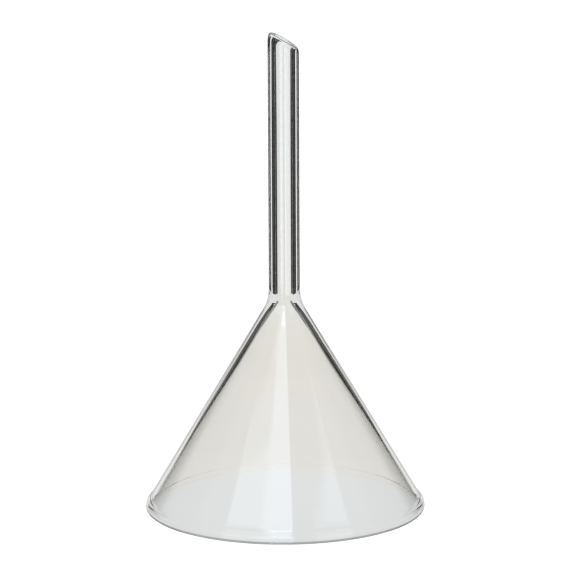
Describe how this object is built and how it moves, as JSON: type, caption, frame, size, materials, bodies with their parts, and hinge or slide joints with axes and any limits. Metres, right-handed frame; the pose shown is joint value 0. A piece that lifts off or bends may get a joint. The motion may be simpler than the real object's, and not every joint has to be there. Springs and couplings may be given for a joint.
{
  "type": "glass funnel",
  "caption": "Conical filter funnel of clear glass: a wide 60 degree cone with a beaded rim, fused to a long narrow stem whose tip is cut on the slant.",
  "frame": {"origin": "centre of the circle the rim rests on, with the funnel standing inverted on its rim", "axes": "+Z along the funnel's axis, from the rim up to the stem tip; -X towards the long side of the slanted tip; +Y completes the right-handed frame"},
  "size_m": [0.075, 0.075, 0.1286],
  "materials": {
    "clear_glass": "clear, fire-polished, glossy"
  },
  "bodies": {
    "root": {"cone_bowl": "clear_glass", "stem_tube": "clear_glass"}
  },
  "joints": []
}
